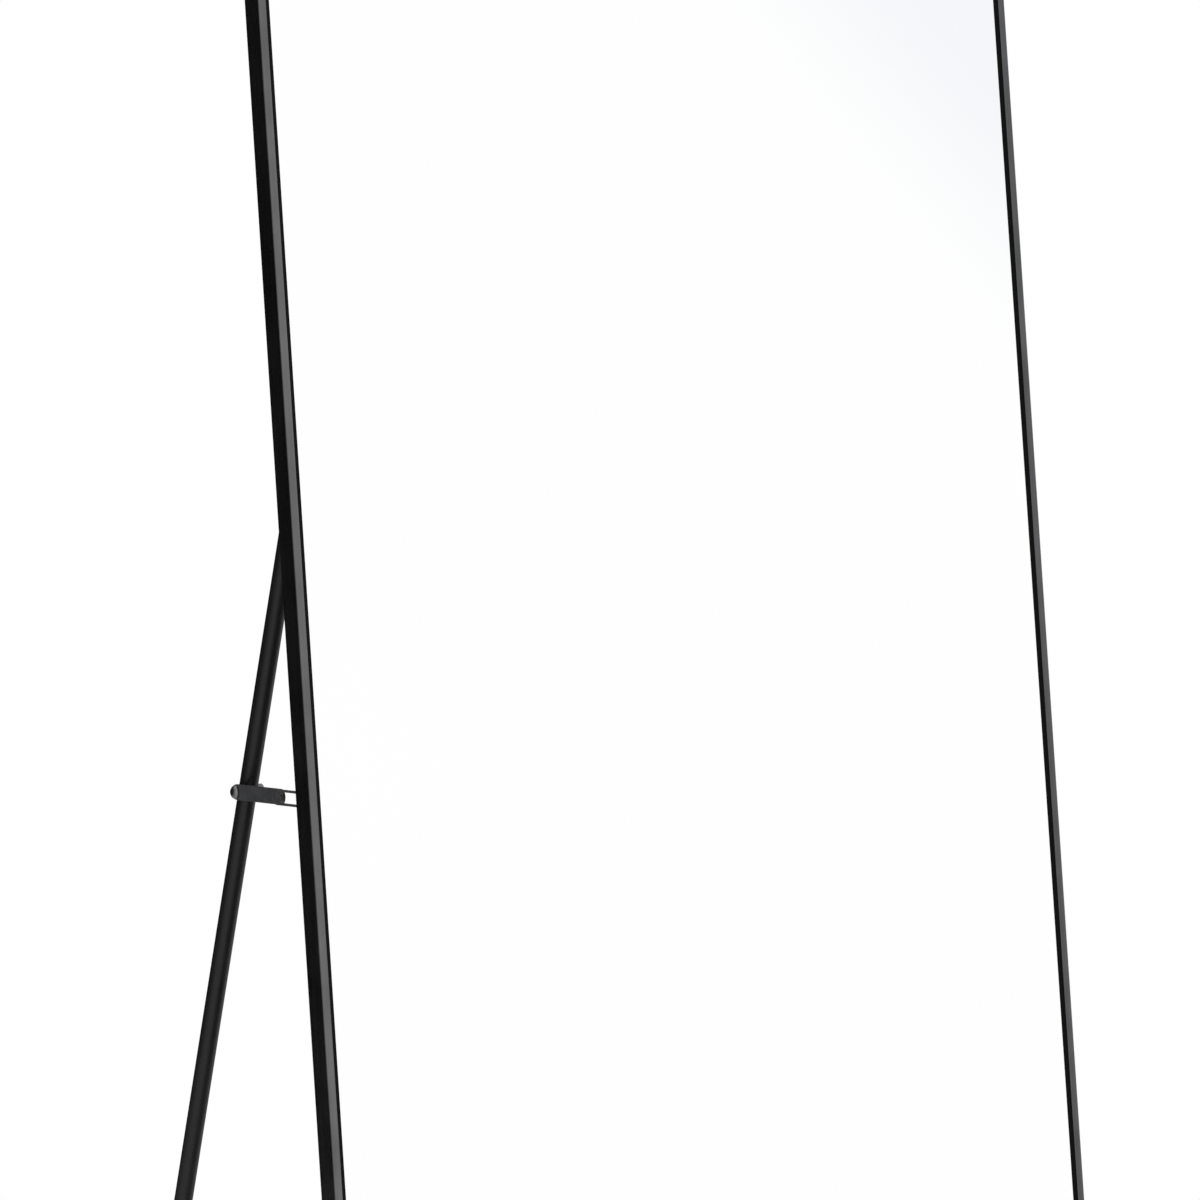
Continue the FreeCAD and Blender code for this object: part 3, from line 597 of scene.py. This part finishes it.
def make_stand_feet():
    """Grooved rubber sleeves on the crossbar."""
    bar = STAND @ Vector((0.0, 0.0, -LEG_LENGTH))
    place = Matrix.Translation(bar) @ Matrix.Scale(MM, 4)
    start = HALF_WIDTH - LEG_CENTRE - TUBE_BEND - SLEEVE_FROM_BEND
    stations = list(SLEEVE_END)
    for groove in range(1, SLEEVE_GROOVES + 1):
        middle = SLEEVE_LENGTH * groove / (SLEEVE_GROOVES + 1)
        stations += [(middle + offset, shrink) for offset, shrink in SLEEVE_GROOVE]
    stations += [(SLEEVE_LENGTH - along, shrink) for along, shrink in reversed(SLEEVE_END)]
    for side, sign in SIDES:
        bm = bmesh.new()
        outer, inner = [], []
        for along, shrink in stations:
            x = sign * (start - along)
            outline = [Vector(point) for point in sleeve_outline(shrink)]
            outer.append([bm.verts.new((x, *point)) for point in outline])
            inner.append([bm.verts.new((x, *(SLEEVE_BORE * point.normalized()))) for point in outline])
        skin(bm, outer + inner[::-1], closed=True)
        piece("stand_foot" + side, "_ribbed", [(mesh_of(bm), place)], smooth=35.0)


# Frame rails: the front flange stops a little short of the seal's lip, which leaves a shadow line
RAIL_WALL = 1.4
FRONT_FLANGE = 5.6
FRONT_FLANGE_THICKNESS = 1.2
SEAL_GAP = 0.3
FRONT_CORNER_RADIUS = 2.0
REAR_CORNER_RADIUS = 0.8
CORNER_STEPS = 8
MIDDLE_FRONT = 10.0
MIDDLE_BACK = 11.3
GROOVE_INNER = 8.9
GROOVE_LIP_HEIGHT = 1.2
REAR_FLANGE = 10.0
EDGE_BREAK = 0.15
SEAM_GAP = 0.03
SEAM_EDGE = 0.2
# The cosine between the two sides at a point, below which they pass for a curve
GENTLE = -0.8


def softened(points, size):
    """Cut the corners of a closed outline, leaving points on gentle curves as they are."""
    result = []
    for i, here in enumerate(points):
        back = (points[i - 1] - here).normalized()
        ahead = (points[(i + 1) % len(points)] - here).normalized()
        if back.dot(ahead) < GENTLE:
            result.append(here)
        else:
            result += [here + back * size, here + ahead * size]
    return result


def shrunk(points, size):
    """A closed outline, drawn clockwise, moved inwards."""
    result = []
    for i, here in enumerate(points):
        before, after = points[i - 1], points[(i + 1) % len(points)]
        along = ((here - before).normalized() + (after - here).normalized()).normalized()
        result.append(here + size * Vector((along.y, -along.x)))
    return result


def rail_outline():
    """The rail's section as (back from the face, inwards from the outer side)."""
    flange = FRONT_FLANGE - SEAL_GAP
    groove_back = DEPTH - RAIL_WALL
    lip_front = MIDDLE_BACK + GROOVE_LIP_HEIGHT
    lip_back = groove_back - GROOVE_LIP_HEIGHT
    quarter = arc(0.0, QUARTER_TURN, CORNER_STEPS)
    points = [(FRONT_CORNER_RADIUS * (1 - math.sin(turn)), FRONT_CORNER_RADIUS * (1 - math.cos(turn)))
              for turn in quarter]
    points += [
        (0.0, flange), (FRONT_FLANGE_THICKNESS, flange), (FRONT_FLANGE_THICKNESS, RAIL_WALL),
        (MIDDLE_FRONT, RAIL_WALL), (MIDDLE_FRONT, REAR_FLANGE), (lip_front, REAR_FLANGE),
        (lip_front, GROOVE_INNER), (MIDDLE_BACK, GROOVE_INNER), (MIDDLE_BACK, RAIL_WALL),
        (groove_back, RAIL_WALL), (groove_back, GROOVE_INNER), (lip_back, GROOVE_INNER),
        (lip_back, REAR_FLANGE), (DEPTH, REAR_FLANGE),
    ]
    points += [(DEPTH - REAR_CORNER_RADIUS * (1 - math.cos(turn)), REAR_CORNER_RADIUS * (1 - math.sin(turn)))
               for turn in quarter]
    return softened([Vector(point) for point in points], EDGE_BREAK)


def make_rails():
    """Mitred rails with softened edges and a fine seam at each corner."""
    outline = rail_outline()
    ends = ((shrunk(outline, EDGE_BREAK), SEAM_GAP), (outline, SEAM_EDGE))
    for side, length, corner, turn in (
        ("bottom", 2 * HALF_WIDTH, (-HALF_WIDTH, 0.0, 0.0), 0.0),
        ("left", HEIGHT, (-HALF_WIDTH, 0.0, HEIGHT), 90.0),
        ("top", 2 * HALF_WIDTH, (HALF_WIDTH, 0.0, HEIGHT), 180.0),
        ("right", HEIGHT, (HALF_WIDTH, 0.0, 0.0), -90.0),
    ):
        bm = bmesh.new()
        rings = [[bm.verts.new((inward + start, back, inward)) for back, inward in section]
                 for section, start in ends]
        rings += [[bm.verts.new((length - inward - start, back, inward)) for back, inward in section]
                  for section, start in reversed(ends)]
        skin(bm, rings)
        bm.faces.new(rings[0])
        bm.faces.new(rings[-1])
        place = MIRROR @ Matrix.Translation(corner) @ Matrix.Rotation(math.radians(turn), 4, "Y")
        piece("rail_" + side, "_soft", [(mesh_of(bm), place)])


# Knee stays
LINK_RADIUS = 5.0
LINK_END_STEPS = 16
LINK_HALF = 1.0
LINK_EDGE = 0.25
LINK_EDGE_STEPS = 3
SLOT_RADIUS = 3.5
SLOT_MARGIN = 5.6
PIN_HOLE = 2.55
TAIL_RECESS = 4.0
TAIL_DEPTH = 0.95
ON_FACE = 1e-4


def stadium(start, end, radius):
    """A bar's outline with round ends, between two places on the x axis."""
    half = arc(-QUARTER_TURN, QUARTER_TURN, LINK_END_STEPS)
    near = [(start - radius * math.cos(turn), -radius * math.sin(turn)) for turn in half]
    return near + [(end + radius * math.cos(turn), radius * math.sin(turn)) for turn in half]


def circle(middle, radius):
    """A hole's outline around a place on the x axis."""
    return [(middle + radius * math.cos(angle), radius * math.sin(angle)) for angle in ANGLES]


def link(length, tail, slotted):
    """A flat bar along +X between two pivot holes, its inner face up, with a recess for a rivet's tail."""
    bm = bmesh.new()

    def wall(steps):
        skin(bm, [[bm.verts.new((x, y, level)) for x, y in outline] for outline, level in steps])

    def rounded(start, end, radius, grow):
        """Outlines up a wall that shrinks, or grows, at both faces."""
        steps = []
        for turn in arc(0.0, QUARTER_TURN, LINK_EDGE_STEPS):
            change = grow * LINK_EDGE * (1 - math.cos(turn))
            level = LINK_HALF - LINK_EDGE * (1 - math.sin(turn))
            steps.append((stadium(start, end, radius + change), level))
        return [(outline, -level) for outline, level in reversed(steps)] + steps

    wall(rounded(0.0, length, LINK_RADIUS, grow=-1.0))
    if slotted:
        margin = SLOT_MARGIN + SLOT_RADIUS
        wall(rounded(margin, length - margin, SLOT_RADIUS, grow=1.0))
    for pivot in (0.0, length):
        floor = LINK_HALF - TAIL_DEPTH if pivot == tail else LINK_HALF
        steps = [(circle(pivot, PIN_HOLE), -LINK_HALF), (circle(pivot, PIN_HOLE), floor)]
        if pivot == tail:
            steps += [(circle(pivot, TAIL_RECESS), floor), (circle(pivot, TAIL_RECESS), LINK_HALF)]
        wall(steps)
    for face in (-LINK_HALF, LINK_HALF):
        rims = [edge for edge in bm.edges
                if edge.is_boundary and all(abs(vert.co.z - face) < ON_FACE for vert in edge.verts)]
        bmesh.ops.triangle_fill(bm, use_beauty=True, edges=rims)
    return mesh_of(bm)


def make_stays():
    """The knee stays' bars: the leg's plain, the frame's slotted."""
    line = joint_place["stay_front_left"] - joint_place["stay_rear_left"]
    line.x = 0.0
    reach = line.length / MM
    shift = STAY_LEG_DISTANCE - STAY_FRAME_DISTANCE
    rear = (reach + shift) / 2
    front = (reach - shift) / 2
    for kind, shape, along in (
        ("rear", link(rear, tail=rear, slotted=False), line.normalized()),
        ("front", link(front, tail=0.0, slotted=True), -line.normalized()),
    ):
        for side, sign in SIDES:
            inward = Vector((-sign, 0.0, 0.0))
            turn = Matrix((along, inward.cross(along), inward)).transposed().to_4x4()
            place = Matrix.Translation(joint_place["stay_" + kind + side]) @ turn @ Matrix.Scale(MM, 4)
            piece("stay_" + kind + "_link" + side, "_stamped", [(shape, place)])


make_screws()
make_bolts()
make_tube()
make_stand_feet()
make_rails()
make_stays()


# Floor, in metres: pale, fading out to the white background
FLOOR_RADIUS = 1.7
FLOOR_FADE = (0.6, 1.6)
FLOOR_SIDES = 96


def make_floor():
    mesh = bpy.data.meshes.new("floor")
    rim = [(FLOOR_RADIUS * math.cos(turn), FLOOR_RADIUS * math.sin(turn), 0.0)
           for turn in arc(0.0, 2 * math.pi, FLOOR_SIDES)[:-1]]
    mesh.from_pydata(rim, [], [list(range(FLOOR_SIDES))])
    floor = bpy.data.objects.new("floor", mesh)
    scene.collection.objects.link(floor)
    mat, tree, shader = new_material("pale_floor")
    space = body_space(tree, lean=0.0)
    cloud = noise(tree, space, scale=6.0, detail=4.0)
    pale = tint(tree, cloud, (0.88, 0.88, 0.875), (0.91, 0.91, 0.905))
    tree.links.new(pale, shader.inputs["Base Color"])
    shader.inputs["Roughness"].default_value = 0.7
    shader.inputs["Specular IOR Level"].default_value = 0.2
    distance = tree.nodes.new("ShaderNodeVectorMath")
    distance.operation = "LENGTH"
    tree.links.new(space, distance.inputs[0])
    fade = spread(tree, distance.outputs["Value"], 1.0, 0.0, *FLOOR_FADE)
    tree.links.new(fade, shader.inputs["Alpha"])
    mesh.materials.append(mat)


make_floor()


# World: white to the camera; to reflections white in front and overhead, with a cool corner that the
# upper right of the glass shows, and dark behind the mirror; a plain grey light for the rest.
# Each part of it has a direction and the two cosines between which it comes in.
WHITE = (1.0, 1.0, 1.0)
COOL_WHITE = (0.915, 0.925, 0.952)
DARK_ROOM = (0.012, 0.012, 0.013)
PLAIN_LIGHT = (0.55, 0.56, 0.57)
COOL_CORNER = ((0.686, 0.508, 0.521), 0.019, 0.046)
IN_FRONT = ((0.4, -0.92, 0.0), -0.6, 0.2)
OVERHEAD = ((0.0, 0.0, 1.0), 0.5, 0.85)


def make_world():
    world = bpy.data.worlds.new("studio")
    scene.world = world
    world.use_nodes = True
    tree = world.node_tree
    tree.nodes.clear()
    out = tree.nodes.new("ShaderNodeOutputWorld")
    sky = tree.nodes.new("ShaderNodeBackground")
    tree.links.new(sky.outputs["Background"], out.inputs["Surface"])
    coord = tree.nodes.new("ShaderNodeTexCoord")
    path = tree.nodes.new("ShaderNodeLightPath")

    def towards(direction, start, end):
        """How far a ray looks in a direction, from 0 to 1 between two cosines."""
        dot = tree.nodes.new("ShaderNodeVectorMath")
        dot.operation = "DOT_PRODUCT"
        dot.inputs[1].default_value = Vector(direction).normalized()
        tree.links.new(coord.outputs["Generated"], dot.inputs[0])
        return spread(tree, dot.outputs["Value"], 0.0, 1.0, start, end, curve="SMOOTHSTEP")

    front = mix(tree, towards(*COOL_CORNER), WHITE, COOL_WHITE)
    around = mix(tree, towards(*IN_FRONT), DARK_ROOM, front)
    shown = mix(tree, towards(*OVERHEAD), around, WHITE)
    seen = mix(tree, path.outputs["Is Glossy Ray"], PLAIN_LIGHT, shown)
    either = tree.nodes.new("ShaderNodeMath")
    either.operation = "MAXIMUM"
    tree.links.new(path.outputs["Is Camera Ray"], either.inputs[0])
    tree.links.new(path.outputs["Is Transmission Ray"], either.inputs[1])
    tree.links.new(mix(tree, either.outputs["Value"], seen, WHITE), sky.inputs["Color"])


make_world()


# Lamps: soft, and out of sight of the glass
LAMP_AIM = Vector((0.0, 0.0, 0.8))


def soft_lamp(name, place, size, power):
    data = bpy.data.lights.new(name, "AREA")
    data.shape = "RECTANGLE"
    data.size, data.size_y = size
    data.energy = power
    lamp = bpy.data.objects.new(name, data)
    lamp.location = place
    lamp.rotation_euler = (LAMP_AIM - Vector(place)).to_track_quat("-Z", "Y").to_euler()
    lamp.visible_glossy = False
    scene.collection.objects.link(lamp)


soft_lamp("key_lamp", place=(-2.2, -3.0, 3.2), size=(2.0, 2.0), power=55.0)
soft_lamp("fill_lamp", place=(2.6, -2.4, 2.4), size=(2.2, 2.2), power=35.0)
soft_lamp("back_lamp", place=(0.5, 3.2, 3.0), size=(2.4, 2.0), power=35.0)


# Camera: fitted to the edges of the frame in the photograph
YAW = math.radians(27.959)
PITCH = math.radians(5.574)
DISTANCE = 4.5
TARGET = Vector((-0.05825, -0.12669, 0.74703))
IMAGE_WIDTH = 1200.0
FOCAL_PIXELS = 7118.4
SENSOR = 36.0
FAR_CLIP = 50.0

look = Vector((math.sin(YAW) * math.cos(PITCH), math.cos(YAW) * math.cos(PITCH), -math.sin(PITCH)))
camera_data = bpy.data.cameras.new("camera")
camera_data.sensor_width = SENSOR
camera_data.lens = FOCAL_PIXELS / IMAGE_WIDTH * SENSOR
camera_data.clip_end = FAR_CLIP
camera = bpy.data.objects.new("camera", camera_data)
camera.location = TARGET - look * DISTANCE
camera.rotation_euler = look.to_track_quat("-Z", "Y").to_euler()
scene.collection.objects.link(camera)
scene.camera = camera
